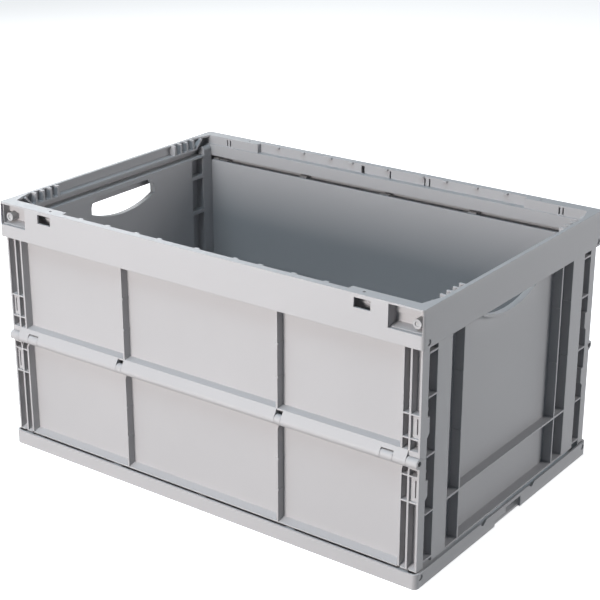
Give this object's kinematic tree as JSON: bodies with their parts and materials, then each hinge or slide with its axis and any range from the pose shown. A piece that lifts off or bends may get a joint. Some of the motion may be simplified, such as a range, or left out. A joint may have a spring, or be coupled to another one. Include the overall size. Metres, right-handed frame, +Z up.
{
  "type": "folding crate",
  "caption": "Rectangular plastic folding crate with a flared rim, bi-fold long walls on full-length hinge rods, and end walls with hand openings that swing inwards and up.",
  "frame": {"origin": "middle of the crate's underside", "axes": "+X along the long side towards the end with the rod heads, +Y towards the back long wall, +Z up"},
  "size_m": [0.6, 0.4, 0.32],
  "materials": {
    "shell": "light grey moulded polypropylene with a fine satin texture",
    "rod": "light grey plastic rod",
    "pin": "light grey moulded plastic pin"
  },
  "bodies": {
    "crate": {"base": "shell", "top_frame": "shell", "lower_front_panel": "shell", "lower_back_panel": "shell", "upper_front_panel": "shell", "upper_back_panel": "shell", "middle_hinge_rod_front": "rod", "middle_hinge_rod_back": "rod", "base_hinge_rod_front": "rod", "base_hinge_rod_back": "rod", "frame_hinge_rod_front": "rod", "frame_hinge_rod_back": "rod", "end_wall_pivot_front_left": "pin", "end_wall_pivot_front_right": "pin", "end_wall_pivot_back_left": "pin", "end_wall_pivot_back_right": "pin"},
    "end_left": {"end_wall_left": "shell"},
    "end_right": {"end_wall_right": "shell"}
  },
  "joints": [
    {"name": "end_wall_right_swing", "type": "hinge", "parent": "crate", "child": "end_right", "pos_m": [0.288, 0, 0.3015], "axis": [0, 1, 0], "range_deg": [0, 90]},
    {"name": "end_wall_left_swing", "type": "hinge", "parent": "crate", "child": "end_left", "pos_m": [-0.288, 0, 0.3015], "axis": [0, -1, 0], "range_deg": [0, 90]}
  ]
}
